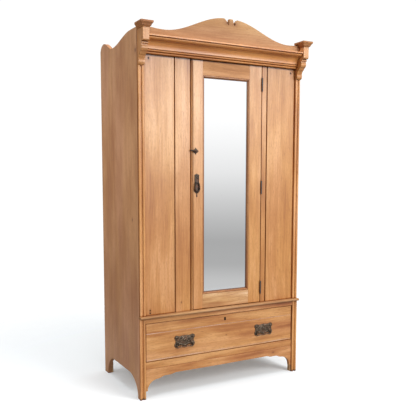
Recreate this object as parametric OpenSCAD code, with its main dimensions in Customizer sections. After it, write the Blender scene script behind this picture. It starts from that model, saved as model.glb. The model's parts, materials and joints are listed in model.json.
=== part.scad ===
/* [Carcase] */
// Width across the outer faces of the two posts
case_w = 1017; // [1000:1:1040]
// Depth of the side boards, front to back
case_d = 540; // [530:1:600]
// Thickness of the side boards
side_t = 22; // [21:1:23]
// Width of the reeded post on each front corner of the cupboard
post_w = 34; // [33:1:35]
// Width of the reeded leg under each post
leg_w = 35; // [34:1:37]
// Thickness of the reeded posts and legs
post_t = 13; // [13:1:14]
// Clear height of the arch between the front and back foot
arch_z = 113; // [105:1:118]
// Height of the shaped top of the side boards
side_top_z = 1920; // [1915:1:1925]

/* [Front levels] */
// Underside of the drawer opening
drawer_sill_z = 199; // [195:1:202]
// Top of the drawer opening
drawer_head_z = 408; // [406:1:412]
// Top of the moulding between drawer and cupboard
waist_z = 449; // [449:1:452]
// Underside of the cornice
head_z = 1791; // [1789:1:1793]
// Top of the cornice
cornice_z = 1874; // [1873:1:1877]
// Underside of the corner caps
neck_z = 1903; // [1902:1:1905]
// Top of the corner caps
cap_z = 1933; // [1931:1:1935]
// Peak of the pediment board
peak_z = 2008; // [1995:1:2020]

/* [Door and front boards] */
// Left edge of the door, from the middle of the wardrobe
door_x0 = -189; // [-190:1:-188]
// Right edge of the door
door_x1 = 246; // [245:1:246]
// Thickness of the door frame and of the stiles beside it
stile_t = 22; // [22:1:24]
// Thickness of the wide fixed boards
panel_t = 16; // [14:1:17]
// Left edge of the mirror that shows
sight_x0 = -118; // [-119:1:-116]
// Right edge of the mirror that shows
sight_x1 = 153; // [150:1:154]
// Bottom edge of the mirror that shows
sight_z0 = 545; // [540:1:550]
// Top edge of the mirror that shows
sight_z1 = 1698; // [1690:1:1700]
// Width of the moulding round the mirror
sight_w = 13; // [12:1:13]
// Width of the bevel ground on the mirror
bevel_w = 12; // [8:1:16]

/* [Drawer] */
// Thickness of the drawer front
drawer_t = 22; // [21:1:24]
// Thickness of the drawer sides and back
lining_t = 12; // [10:1:13]
// Length of the drawer sides behind the front
drawer_l = 482; // [440:1:490]
// Middle of the left pull
pull_left_x = -245; // [-250:1:-240]
// Middle of the right pull
pull_right_x = 272; // [265:1:275]
// Height of the middle of the pulls
pull_z = 284; // [280:1:288]

/* [Metalwork] */
// Radial clearance of every turning fit
fit = 0.05; // [0.02:0.01:0.08]
// Middle of the long pull plate on the door
plate_x = -168; // [-170:1:-166]
// Height of the pivot that the drop hangs on
drop_z = 1142; // [1140:1:1144]
// Middle of the turn catch
catch_x = -175; // [-176:1:-173]
// Height of the turn catch
catch_z = 1311; // [1300:1:1320]
// Radius of the hanging rail
rail_r = 14; // [12:1:16]

/* [Hidden] */
$fn = 48;

pine = "burlywood";
pine_dark = "peru";
deal = "wheat";
bronze = "dimgray";
steel = "gray";

// The front plane of the side boards, so that the origin is the middle of the footprint
cap_reach = 16.4;
pillar_t = 69;
cap_front = post_t + pillar_t + cap_reach;
face_y = cap_front - (cap_front + case_d) / 2;

outer_x = case_w / 2;
inner_x = outer_x - side_t;
post_x = outer_x - post_w;
leg_x = outer_x - 32;
pillar_w = 34;
pillar_x = outer_x - pillar_w / 2;
back_t = 12;
back_y = case_d - back_t;
joint = 1;

// ---------- helpers: y counts back from the front plane of the side boards ----------

module board(x0, x1, y0, y1, z0, z1)
    translate([x0, face_y + y0, z0]) cube([x1 - x0, y1 - y0, z1 - z0]);

// A plan outline in x and y, drawn upwards from z0 to z1
module upright(z0, z1)
    translate([0, face_y, z0]) linear_extrude(z1 - z0) children();

// A side outline in y and z, drawn across from x0 to x1
module across(x0, x1)
    translate([x0, face_y, 0]) rotate([90, 0, 90]) linear_extrude(x1 - x0) children();

// A front outline in x and z, drawn back from y0 to y1
module facing(y0, y1)
    translate([0, face_y + y1, 0]) rotate([90, 0, 0]) linear_extrude(y1 - y0) children();

// A round bar along x, y or z
module bar_x(x0, x1, y, z, r)
    translate([x0, face_y + y, z]) rotate([0, 90, 0]) cylinder(r = r, h = x1 - x0);
module bar_y(y0, y1, x, z, r)
    translate([x, face_y + y1, z]) rotate([90, 0, 0]) cylinder(r = r, h = y1 - y0);
module bar_z(z0, z1, x, y, r)
    translate([x, face_y + y, z0]) cylinder(r = r, h = z1 - z0);

module both_sides() {
    children();
    mirror([1, 0, 0]) children();
}

function arc(cx, cy, rx, ry, a0, a1, n) =
    [for (i = [0:n]) let (a = a0 + (a1 - a0) * i / n) [cx + rx * cos(a), cy + ry * sin(a)]];

// A smooth half wave that leaves its first point out
function wave(x0, y0, x1, y1, n) =
    [for (i = [1:n]) [x0 + (x1 - x0) * i / n, y0 + (y1 - y0) * (1 - cos(180 * i / n)) / 2]];

// ---------- carcase ----------

// The side board stands on two feet, and its top edge dips between the post and a rounded back ear
foot_front = 24;
foot_back = 53;
front_sweep = 128;
back_sweep = 97;
ear_w = 54;
ear_h = 44;
dip_y = 351;
dip_drop = 45;
side_outline = concat(
    [[0, 0]],
    arc(foot_front + front_sweep, 0, front_sweep, arch_z, 180, 90, 12),
    arc(case_d - foot_back - back_sweep, 0, back_sweep, arch_z, 90, 0, 12),
    [[case_d, 0]],
    arc(case_d - ear_w, side_top_z + 4 - ear_h, ear_w, ear_h, 0, 90, 8),
    wave(case_d - ear_w, side_top_z + 4, dip_y, side_top_z - dip_drop, 10),
    wave(dip_y, side_top_z - dip_drop, 86, side_top_z, 12),
    [[0, side_top_z]]
);

module side_board() across(inner_x, outer_x) polygon(side_outline);
module side_board_left() color(pine_dark) mirror([1, 0, 0]) side_board();
module side_board_right() color(pine_dark) side_board();

// Two reeds with a hollow between them, and a quirk against the side board
reed_r = 6.5;
post_quirk = 3.5;
nose_t = 13;
module reeded(x, w, z0, z1) upright(z0, z1) {
    translate([x, reed_r - post_t]) square([w - post_quirk, post_t - reed_r]);
    for (reed_x = [x + reed_r, x + w - reed_r]) translate([reed_x, reed_r - post_t]) circle(reed_r);
}
module post_left() color(pine) mirror([1, 0, 0]) reeded(post_x, post_w, waist_z, side_top_z);
module post_right() color(pine) reeded(post_x, post_w, waist_z, side_top_z);

// The legs stand a little proud of the side boards, and the waist moulding lies across their tops
module leg_left() color(pine) mirror([1, 0, 0]) reeded(leg_x, leg_w, 0, waist_z - nose_t);
module leg_right() color(pine) reeded(leg_x, leg_w, 0, waist_z - nose_t);

// Tongued and grooved boards nailed upright between the sides
back_count = 6;
back_z0 = 150;
back_z1 = 1862;
tongue = 5;
module back_boards() color(deal) {
    pitch = 2 * inner_x / back_count;
    for (i = [0:back_count - 1]) {
        x0 = -inner_x + i * pitch;
        x1 = x0 + pitch - joint;
        difference() {
            union() {
                board(x0, x1, back_y, case_d, back_z0, back_z1);
                if (i < back_count - 1)
                    board(x1, x1 + tongue, back_y + 4, back_y + 8, back_z0, back_z1);
            }
            if (i > 0)
                board(x0 - 1, x0 + tongue, back_y + 3.8, back_y + 8.2, back_z0 - 1, back_z1 + 1);
        }
    }
}

// The battens run down the inside of the back feet and take the nails of the back
batten_w = 10;
module back_battens() color(deal) both_sides()
    board(inner_x - batten_w, inner_x, case_d - foot_back, back_y, 0, back_z1 - 20);

top_z = 1846;
module top_board() color(deal) board(-inner_x, inner_x, stile_t, back_y, top_z, back_z1);

floor_t = 18;
floor_y = 18;
module floor_board() color(deal) {
    board(-inner_x, inner_x, floor_y, case_d - foot_back, waist_z - floor_t, waist_z);
    board(batten_w - inner_x, inner_x - batten_w, case_d - foot_back, back_y, waist_z - floor_t, waist_z);
}

// A round-nosed board that parts the posts from the legs
nose_y = -30;
module waist_moulding() color(pine_dark) {
    across(-leg_x - leg_w, leg_x + leg_w) {
        translate([nose_y + nose_t / 2, waist_z - nose_t]) square([-nose_y - nose_t / 2, nose_t]);
        translate([nose_y + nose_t / 2, waist_z - nose_t / 2]) circle(nose_t / 2);
    }
    board(-inner_x, inner_x, -1, floor_y, waist_z - nose_t, waist_z);
}

// A cross rail fills the space between the legs and laps the side boards behind them
module cross_rail(y0, y1, z0, z1) {
    board(-leg_x, leg_x, y0, y1, z0, z1);
    both_sides() board(leg_x, inner_x, 0, y1, z0, z1);
}

// A V-shaped line cut along the front of the drawer and its rail
module v_groove(z, half, depth) across(-outer_x, outer_x) polygon([
    [front_y - 1, z - half], [front_y, z - half], [front_y + depth, z], [front_y, z + half], [front_y - 1, z + half]
]);

rail_y1 = 18;
bolt_throw = 8;
module waist_rail() color(pine) difference() {
    cross_rail(-9, rail_y1, drawer_head_z, waist_z - nose_t);
    board(key_x - 11, key_x + 11, 8, 15.5, drawer_head_z - 1, drawer_head_z + bolt_throw);
}

sill_z0 = 160;
sill_y1 = 60;
front_y = -4;
rail_groove = 1.6;
module drawer_rail() color(pine) difference() {
    cross_rail(front_y, sill_y1, sill_z0, drawer_sill_z - 1);
    v_groove(sill_z0, rail_groove, rail_groove);
}

// The apron ends in quarter-round brackets with a small step, and rises a little towards the middle
bracket_z = 41;
step_x = 400;
step_z = 101;
bracket_w = 12;
cusp_x = 330;
shelf_z = 112;
crown_x = 296;
crown_z = 119;
apron_half = concat(
    [[0, crown_z - 1], [crown_x, crown_z]],
    wave(crown_x, crown_z, cusp_x, shelf_z, 4),
    [[365, shelf_z]],
    wave(365, shelf_z, step_x, step_z, 3),
    arc(step_x, bracket_z + 4, leg_x - step_x - bracket_w, step_z - bracket_z - 4, 84, 0, 10),
    [[leg_x - bracket_w, bracket_z], [leg_x, bracket_z], [leg_x, sill_z0], [0, sill_z0]]
);
module apron() color(pine) difference() {
    both_sides() {
        facing(front_y, panel_t) polygon(apron_half);
        board(leg_x, inner_x, 0, panel_t, bracket_z, sill_z0);
    }
    v_groove(sill_z0, rail_groove, rail_groove);
}

// The fixed boards of the front: a dark groove lies between each board and the stile beside it
groove_y = 6;
left_groove_x = -299;
right_groove_x = 283;
groove_half = 3.5;
module front_panel_left() color(pine) difference() {
    upright(waist_z, head_z) polygon([
        [-inner_x, 0], [left_groove_x - groove_half, 0], [left_groove_x - groove_half, groove_y],
        [left_groove_x, groove_y], [left_groove_x, panel_t], [-inner_x, panel_t]
    ]);
    for (p = left_screws) screw_hole(p);
}
module front_panel_right() color(pine) difference() {
    upright(waist_z, head_z) polygon([
        [inner_x, 0], [right_groove_x + groove_half, 0], [right_groove_x + groove_half, groove_y],
        [right_groove_x, groove_y], [right_groove_x, panel_t], [inner_x, panel_t]
    ]);
    for (p = right_screws) screw_hole(p);
}

// The closing stile carries a deep quirk and a bead along the door
gap = 2;
bead_r = 4.5;
quirk_w = 9;
quirk_y = 9;
bead_x = door_x0 - gap - 2 * bead_r;
module front_stile_left() color(pine) upright(waist_z, head_z) {
    polygon([
        [left_groove_x, groove_y], [left_groove_x + groove_half, groove_y], [left_groove_x + groove_half, 0],
        [bead_x - quirk_w, 0], [bead_x - quirk_w + 2, quirk_y], [bead_x, quirk_y], [bead_x, bead_r],
        [door_x0 - gap, bead_r], [door_x0 - gap, stile_t], [left_groove_x, stile_t]
    ]);
    translate([bead_x + bead_r, bead_r]) circle(bead_r);
}

hinge_gap = 4;
module front_stile_right() color(pine) upright(waist_z, head_z) polygon([
    [door_x1 + hinge_gap, 1], [door_x1 + hinge_gap + 1, 0], [right_groove_x - groove_half, 0],
    [right_groove_x - groove_half, groove_y], [right_groove_x, groove_y], [right_groove_x, stile_t],
    [door_x1 + hinge_gap, stile_t]
]);

module frieze_rail() color(pine) board(-inner_x, inner_x, 0, stile_t, head_z, cornice_z);

// Two reeds, a cove, an ovolo, a quirk and a top fillet, read upwards from the underside
cornice_y = -79;
cove_y = -50;
cornice_outline = concat(
    [[0, head_z], [-14, head_z]],
    arc(-15, head_z + 5, 5, 5, 270, 90, 6),
    arc(-21, head_z + 16, 5, 5, 270, 90, 6),
    [[-27, head_z + 22], [-27, head_z + 25]],
    arc(cove_y, head_z + 25, -27 - cove_y, 34, 0, 90, 8),
    [[cove_y - 3, head_z + 59], [cove_y - 3, head_z + 61]],
    arc(cove_y - 4, head_z + 72, 18, 11, 270, 180, 6),
    [[-70, head_z + 73], [-70, head_z + 76], [cornice_y, head_z + 76], [cornice_y, cornice_z], [0, cornice_z]]
);
module cornice() color(pine_dark)
    across(-outer_x + pillar_w, outer_x - pillar_w) polygon(cornice_outline);

// The pediment board: a broad hump between two shallow dips, its peak a little right of the middle
crest_x = 8;
crest_half = 25;
slope_w = 360;
dip_z = 1911;
pediment_y = -40;
pediment_t = 20;
pediment_w = 2 * (outer_x - pillar_w);
function hump(d) = d < crest_half ? 1 : (1 + cos(180 * min(1, (d - crest_half) / slope_w))) / 2;
function ends(d) = max(0, d - crest_half - slope_w) / 90;
function pediment_top(x) = let (d = abs(x - crest_x)) dip_z + (peak_z - dip_z) * hump(d) + 8 * pow(ends(d), 2);
pediment_steps = 60;
cap_recess = [for (p = [[1, neck_z], [8, cap_z - 23], [9, cap_z - 22], [9, cap_z - 18],
    [cap_reach - 1, cap_z - 10], [cap_reach, cap_z - 9], [cap_reach, cap_z + 1], [-1, cap_z + 1]])
    [pediment_w / 2 - p[0] - 0.3, p[1] - 0.3]];
module pediment() color(pine) facing(pediment_y, pediment_y + pediment_t) difference() {
    polygon(concat(
        [[-pediment_w / 2, cornice_z], [pediment_w / 2, cornice_z]],
        [for (i = [0:pediment_steps]) let (x = pediment_w * (0.5 - i / pediment_steps)) [x, pediment_top(x)]]
    ));
    polygon([[-24, peak_z + 1], [-5, peak_z - 16], [-1, peak_z - 32], [7, peak_z - 30], [9, peak_z + 1]]);
    polygon([
        [29, peak_z + 1], [34, peak_z - 16], [38, peak_z - 31], [44, peak_z - 29], [46, peak_z - 14], [58, peak_z + 1]
    ]);
    both_sides() polygon(concat([[pediment_w / 2 + 1, neck_z]], cap_recess));
}

// The corbel: a square block, a thin band, a scroll and a smaller rounded lobe under it
pillar_y = -post_t - pillar_t;
corbel_outline = concat(
    [[-post_t, neck_z], [pillar_y, neck_z]],
    arc(pillar_y + 8, 1847, 8, 8, 180, 270, 4),
    [[-64, 1839], [-63, 1836], [-67, 1834], [-67, 1829], [-60, 1826]],
    arc(-42, 1811, 19.5, 19.5, 155, 235, 8),
    wave(-53.2, 1795, -31, 1777, 5),
    [[-29, 1773]],
    arc(-14, 1750, 11.5, 18, 140, 268, 8),
    [[-post_t, 1732]]
);
module corbel() across(pillar_x - pillar_w / 2, outer_x) polygon(corbel_outline);
module corbel_left() color(pine_dark) mirror([1, 0, 0]) corbel();
module corbel_right() color(pine_dark) corbel();

// The cap: a square slab over two sloped steps, flush at the back
module cap_slab(reach, z0, z1)
    board(pillar_x - pillar_w / 2 - reach, outer_x + reach, pillar_y - reach, -post_t, z0, z1);
module cap() {
    cap_slab(cap_reach, cap_z - 9, cap_z);
    hull() {
        cap_slab(cap_reach - 1, cap_z - 10, cap_z - 9);
        cap_slab(9, cap_z - 18, cap_z - 17);
    }
    cap_slab(9, cap_z - 22, cap_z - 18);
    hull() {
        cap_slab(8, cap_z - 23, cap_z - 22);
        cap_slab(1, neck_z, neck_z + 1);
    }
}
module cap_left() color(pine_dark) mirror([1, 0, 0]) cap();
module cap_right() color(pine_dark) cap();

// A block stiffens each front foot, and blocks behind the wide boards take the screws
foot_block_w = 14;
block_x = 425;
block_t = 24;
block_h = 42;
module glue_blocks() color(deal) both_sides() {
    board(inner_x - foot_block_w, inner_x, 0, foot_front, 0, bracket_z);
    board(inner_x - foot_block_w, inner_x, panel_t, foot_front, bracket_z, sill_z0);
    for (z = [waist_z, head_z - block_h])
        board(block_x, inner_x, panel_t, panel_t + block_t, z, z + block_h);
}

// Small blocks that the door shuts against, and two that stop the drawer
stop_gap = 0.4;
stop_t = 14;
module stop_blocks() color(deal) {
    board(-140, -100, stile_t, stile_t + stop_t, head_z, head_z + 30);
    board(-140, -100, stile_t + stop_gap, stile_t + stop_t, head_z - 20, head_z);
    board(-140, -100, stile_t + stop_gap, stile_t + stop_t, waist_z, waist_z + 20);
    both_sides() board(200, 250, rail_y1 + stop_gap, rail_y1 + 34, drawer_sill_z - 1, drawer_sill_z + 8);
}

left_screws = [[-445, 1772], [-446, 474], [-446, 460]];
right_screws = [[446, 1766]];
screw_head_r = 4;
screw_sink = 2;
module screw_hole(p) {
    bar_y(-1, screw_sink + 3, p[0], p[1], screw_head_r);
    bar_y(0, panel_t + 1, p[0], p[1], 2);
}
module panel_screws() color(steel) for (p = concat(left_screws, right_screws)) difference() {
    union() {
        bar_y(screw_sink, screw_sink + 3, p[0], p[1], screw_head_r);
        bar_y(screw_sink + 1, panel_t, p[0], p[1], 2);
    }
    board(p[0] - 5, p[0] + 5, screw_sink - 1, screw_sink + 1, p[1] - 0.5, p[1] + 0.5);
}

// ---------- drawer way ----------

drawer_x = leg_x - 4;
guide_x = drawer_x + 1;
run_y1 = case_d - foot_back;
module drawer_runners() color(deal) both_sides()
    board(drawer_x - 34, inner_x, sill_y1, run_y1, drawer_sill_z - 22, drawer_sill_z);
module drawer_guides() color(deal) both_sides()
    board(guide_x, inner_x, sill_y1, run_y1, drawer_sill_z, drawer_sill_z + 24);

// ---------- inside ----------

pole_y = 275;
pole_z = 1715;
socket_t = 12;
module hanging_rail() color(pine_dark) bar_x(-inner_x + 2, inner_x - 2, pole_y, pole_z, rail_r);
module rail_sockets() color(pine_dark) both_sides() difference() {
    bar_x(inner_x - socket_t, inner_x, pole_y, pole_z, rail_r + 10);
    bar_x(inner_x - socket_t - 1, inner_x - 2, pole_y, pole_z, rail_r);
}

// ---------- door ----------

door_z0 = waist_z + 3;
door_z1 = head_z - 3;
open_x0 = sight_x0 - sight_w;
open_x1 = sight_x1 + sight_w;
open_z0 = sight_z0 - sight_w;
open_z1 = sight_z1 + sight_w;
tenon_l = 28;
tenon_y0 = 7;
tenon_y1 = 15;
tenon_in = 10;

module tenons(z0, z1)
    board(open_x0 - tenon_l, open_x1 + tenon_l, tenon_y0, tenon_y1, z0 + tenon_in, z1 - tenon_in);
module door_rail(z0, z1) {
    board(open_x0, open_x1, 0, stile_t, z0, z1);
    tenons(z0, z1);
}
module door_rail_top() color(pine) door_rail(open_z1, door_z1);
module door_rail_bottom() color(pine) door_rail(door_z0, open_z0);
module mortises() {
    tenons(open_z1, door_z1);
    tenons(door_z0, open_z0);
}

spindle_r = 3;
module key_slot(x, z, y0, y1) {
    bar_y(y0, y1, x, z, 3.5);
    board(x - 2, x + 2, y0, y1, z - 14, z);
}
lock_key_z = 1170;
module door_stile_left() color(pine) difference() {
    board(door_x0, open_x0, 0, stile_t, door_z0, door_z1);
    mortises();
    bar_y(-1, stile_t + 1, catch_x, catch_z, spindle_r + 0.5);
    key_slot(plate_x, lock_key_z, -1, stile_t + 1);
}
module door_stile_right() color(pine) difference() {
    board(open_x1, door_x1, 0, stile_t, door_z0, door_z1);
    mortises();
}

// One strip of the moulding: p counts inwards from the frame, y counts back from the door face
glass_y = 10;
sight_profile = concat(
    [[0, glass_y], [0, 1.5], [1.5, 0.3], [4.5, 0.3]],
    arc(sight_w, 1.5, sight_w - 5.5, glass_y - 3, 180, 90, 6),
    [[sight_w, glass_y]]
);
function turned(s, origin) = [for (p = s) [p[1], origin + p[0]]];
module mitred(a, b, c, d) intersection() {
    children();
    facing(-1, glass_y + 1) polygon([a, b, c, d]);
}
module sight_moulding() color(pine_dark) {
    bl = [open_x0, open_z0];
    tl = [open_x0, open_z1];
    br = [open_x1, open_z0];
    tr = [open_x1, open_z1];
    sbl = [sight_x0, sight_z0];
    stl = [sight_x0, sight_z1];
    sbr = [sight_x1, sight_z0];
    str = [sight_x1, sight_z1];
    mitred(bl, sbl, stl, tl) upright(open_z0, open_z1)
        polygon([for (p = sight_profile) [open_x0 + p[0], p[1]]]);
    mitred(br, sbr, str, tr) upright(open_z0, open_z1)
        polygon([for (p = sight_profile) [open_x1 - p[0], p[1]]]);
    mitred(bl, sbl, sbr, br) across(open_x0, open_x1)
        polygon([for (p = sight_profile) [p[1], open_z0 + p[0]]]);
    mitred(tl, stl, str, tr) across(open_x0, open_x1)
        polygon([for (p = sight_profile) [p[1], open_z1 - p[0]]]);
}

// Plate glass with a shallow bevel on all four sides, let in behind the moulding
glass_t = 5;
bevel_d = 2;
pane = 1;
hidden = sight_w - pane + bevel_w;
function bevelled(a, b) = [
    [a, glass_y + glass_t], [a, glass_y + bevel_d], [a + hidden, glass_y],
    [b - hidden, glass_y], [b, glass_y + bevel_d], [b, glass_y + glass_t]
];
module mirror_glass() color("aliceblue") intersection() {
    upright(open_z0 + pane, open_z1 - pane) polygon(bevelled(open_x0 + pane, open_x1 - pane));
    across(open_x0, open_x1)
        polygon([for (p = bevelled(open_z0 + pane, open_z1 - pane)) [p[1], p[0]]]);
}

sheet_y1 = 19;
module mirror_backboard() color(deal)
    board(open_x0 + pane, open_x1 - pane, glass_y + glass_t, sheet_y1, open_z0 + pane, open_z1 - pane);
bead_w = 10;
module backboard_beads() color(deal) {
    for (x = [open_x0, open_x1 - bead_w]) board(x, x + bead_w, sheet_y1, stile_t, open_z0, open_z1);
    for (z = [open_z0, open_z1 - bead_w])
        board(open_x0 + bead_w, open_x1 - bead_w, sheet_y1, stile_t, z, z + bead_w);
}

// ---------- door hinges: three butts, each with five knuckles ----------

hinge_h = 74;
hinge_zs = [500, 1077, 1651];
hinge_x = door_x1 + hinge_gap / 2;
hinge_y = -4.6;
knuckle_r = 4;
pin_r = 2.4;
leaf_t = 1.6;
knuckles = 5;
knuckle_gap = 0.3;
knuckle_h = hinge_h / knuckles;

// side is -1 for the leaf on the door and 1 for the leaf on the frame
module hinge_leaf(side, z, owned, bore_r) {
    leaf_x = side < 0 ? door_x1 : door_x1 + hinge_gap - leaf_t;
    board(leaf_x, leaf_x + leaf_t, 0.2, stile_t - 2, z, z + hinge_h);
    for (i = owned) difference() {
        union() {
            bar_z(z + i * knuckle_h + knuckle_gap, z + (i + 1) * knuckle_h - knuckle_gap,
                hinge_x, hinge_y, knuckle_r);
            board(leaf_x, leaf_x + leaf_t, hinge_y + 3, 0.2,
                z + i * knuckle_h + knuckle_gap, z + (i + 1) * knuckle_h - knuckle_gap);
        }
        bar_z(z - 1, z + hinge_h + 1, hinge_x, hinge_y, bore_r);
    }
}
module frame_hinge_leaves() color(steel) for (z = hinge_zs) hinge_leaf(1, z, [0, 2, 4], pin_r + fit);
module door_hinge_leaves() color(steel) for (z = hinge_zs) hinge_leaf(-1, z, [1, 3], pin_r);
module hinge_pins() color(steel) for (z = hinge_zs) bar_z(z - 1, z + hinge_h + 1, hinge_x, hinge_y, pin_r);

// ---------- door lock, keeper, catch and drop pull ----------

case_t = 14;
lock_y0 = stile_t;
lock_z0 = 1122;
lock_z1 = 1192;
bolt_z = 1148;
bolt_h = 12;
bolt_y0 = lock_y0 + 4;
bolt_t = 6;
slip = 0.1;
module door_lock_case() color(steel) difference() {
    board(door_x0 + 1, door_x0 + 55, lock_y0, lock_y0 + case_t, lock_z0, lock_z1);
    board(door_x0, door_x0 + 46, bolt_y0 - slip, bolt_y0 + bolt_t + slip,
        bolt_z - bolt_h / 2 - slip, bolt_z + bolt_h / 2 + slip);
    key_slot(plate_x, lock_key_z, lock_y0 - 1, lock_y0 + 9);
}
module door_bolt() color(steel)
    board(door_x0 + 1.5, door_x0 + 36, bolt_y0, bolt_y0 + bolt_t, bolt_z - bolt_h / 2, bolt_z + bolt_h / 2);
module lock_keeper() color(steel) difference() {
    board(door_x0 - gap - 24, door_x0 - gap - 1, lock_y0, lock_y0 + case_t, bolt_z - 16, bolt_z + 16);
    board(door_x0 - gap - 15, door_x0 - gap, bolt_y0 - 1, bolt_y0 + bolt_t + 1, bolt_z - 8, bolt_z + 8);
}

// A four-pointed rose, and a short lever that lies level when the door is free
rose_t = 2.5;
rose_tip = 18;
rose_waist = 7;
module catch_rose() color(bronze) difference() {
    translate([catch_x, 0, catch_z]) facing(-rose_t, 0) polygon([
        for (i = [0:7]) let (r = i % 2 == 0 ? rose_tip : rose_waist * sqrt(2)) [r * cos(45 * i), r * sin(45 * i)]
    ]);
    bar_y(-rose_t - 1, 1, catch_x, catch_z, spindle_r + fit);
}
lever_y0 = -13;
lever_y1 = -6;
lever_l = 32;
cam_y = stile_t + 0.8;
cam_t = 3;
cam_half = 19;
module catch_lever() color(bronze) {
    bar_y(lever_y1 - 1, cam_y + cam_t, catch_x, catch_z, spindle_r);
    bar_y(lever_y0, -rose_t - 0.3, catch_x, catch_z, 6.5);
    board(catch_x - lever_l, catch_x, lever_y0, lever_y1, catch_z - 4.5, catch_z + 4.5);
    bar_y(lever_y0, lever_y1, catch_x - lever_l, catch_z, 5.5);
}
module catch_cam() color(bronze) difference() {
    union() {
        board(catch_x - 6, catch_x + 6, cam_y, cam_y + cam_t, catch_z - cam_half, catch_z + cam_half);
        for (s = [-1, 1]) bar_y(cam_y, cam_y + cam_t, catch_x, catch_z + s * cam_half, 6);
    }
    bar_y(cam_y - 1, cam_y + cam_t + 1, catch_x, catch_z, spindle_r);
}

// The long plate has a pointed head, a flared foot and a thin tail
plate_t = 2.5;
drop_y = -7.5;
drop_pin_r = 1.6;
lug_w = 12;
module door_pull_plate() color(bronze) difference() {
    union() {
        facing(-plate_t, 0) polygon([
            [plate_x, 1193], [plate_x + 13, 1184], [plate_x + 12, 1110], [plate_x + 19, 1099],
            [plate_x + 10, 1090], [plate_x + 2.5, 1087], [plate_x + 1.5, 1066], [plate_x - 1.5, 1066],
            [plate_x - 2.5, 1087], [plate_x - 10, 1090], [plate_x - 19, 1099], [plate_x - 12, 1110],
            [plate_x - 13, 1184]
        ]);
        bar_x(plate_x - lug_w / 2, plate_x + lug_w / 2, drop_y, drop_z, 4);
        board(plate_x - lug_w / 2, plate_x + lug_w / 2, drop_y, -1, drop_z - 3, drop_z + 3);
    }
    bar_x(plate_x - lug_w, plate_x + lug_w, drop_y, drop_z, drop_pin_r + fit);
    key_slot(plate_x, lock_key_z, -plate_t - 1, 1);
}

// A wire loop that hangs from two short pins turned in at its top
module loop_pull(x, y, z, half_w, drop, corner, wire_r, pin_in, wire_pin_r) {
    for (s = [-1, 1]) {
        leg_x = x + s * half_w;
        tip_x = leg_x - s * pin_in;
        bar_z(z - drop + corner, z, leg_x, y, wire_r);
        translate([leg_x, face_y + y, z]) sphere(wire_r);
        bar_x(min(leg_x, tip_x), max(leg_x, tip_x), y, z, wire_pin_r);
        translate([leg_x - s * corner, face_y + y, z - drop + corner])
            rotate([90, 0, 0]) rotate([0, 0, s > 0 ? 270 : 180])
            rotate_extrude(angle = 90) translate([corner, 0]) circle(wire_r);
    }
    bar_x(x - half_w + corner, x + half_w - corner, y, z - drop, wire_r);
}
drop_half = 14;
module drop_pull() color(bronze)
    loop_pull(plate_x, drop_y, drop_z, drop_half, 44, 8, 2.2, drop_half - 1, drop_pin_r);

// ---------- drawer ----------

drawer_y1 = front_y + drawer_t;
box_y1 = drawer_y1 + drawer_l;
front_z0 = drawer_sill_z + 2;
front_z1 = drawer_head_z - 3;
lining_z0 = drawer_sill_z + 0.5;
lining_z1 = front_z1 - 10;
bottom_z = drawer_sill_z + 12;
bottom_t = 8;
groove = 5;
box_x = drawer_x - lining_t;
tails = 4;
tail_l = 14;
tail_pitch = (lining_z1 - front_z0) / tails;

// Lapped dovetails: each tail is wider at its tip, and the front is cut to match
module side_tails() both_sides() across(box_x, drawer_x)
    for (i = [0:tails - 1]) translate([drawer_y1, front_z0 + (i + 0.5) * tail_pitch])
        polygon([[0, -11], [-tail_l, -15], [-tail_l, 15], [0, 11]]);

module bottom_panel() board(-box_x - groove, box_x + groove, drawer_y1 - 6, box_y1,
    bottom_z, bottom_z + bottom_t);

key_x = 11;
drawer_key_z = 385;
lock_half = 30;
lock_y = 8;
drawer_lock_z0 = 356;
scribe_zs = [207, 350];
scribe_half = 1.6;
scribe_d = 1.4;
module lock_recess() board(key_x - lock_half, key_x + lock_half, lock_y, drawer_y1, drawer_lock_z0, front_z1);
module drawer_front() color(pine) difference() {
    board(-drawer_x, drawer_x, front_y, drawer_y1, front_z0, front_z1);
    side_tails();
    bottom_panel();
    lock_recess();
    key_slot(key_x, drawer_key_z, front_y - 1, lock_y + 1);
    for (z = scribe_zs) v_groove(z, scribe_half, scribe_d);
}
module drawer_sides() color(deal) difference() {
    union() {
        both_sides() board(box_x, drawer_x, drawer_y1, box_y1, lining_z0, lining_z1);
        side_tails();
    }
    bottom_panel();
}
module drawer_back() color(deal)
    board(-box_x, box_x, box_y1 - lining_t, box_y1, bottom_z + bottom_t, lining_z1 - 8);
module drawer_bottom() color(deal) bottom_panel();

drawer_bolt_y = 9;
drawer_bolt_t = 5.5;
drawer_bolt_z = 374;
module drawer_lock_case() color(steel) difference() {
    lock_recess();
    board(key_x - 10 - slip, key_x + 10 + slip, drawer_bolt_y - slip, drawer_bolt_y + drawer_bolt_t + slip,
        drawer_bolt_z - 4, front_z1 + 1);
    key_slot(key_x, drawer_key_z, lock_y - 1, lock_y + 2);
}
module drawer_bolt() color(steel) board(key_x - 10, key_x + 10, drawer_bolt_y, drawer_bolt_y + drawer_bolt_t,
    drawer_bolt_z, front_z1 - 2);

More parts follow.
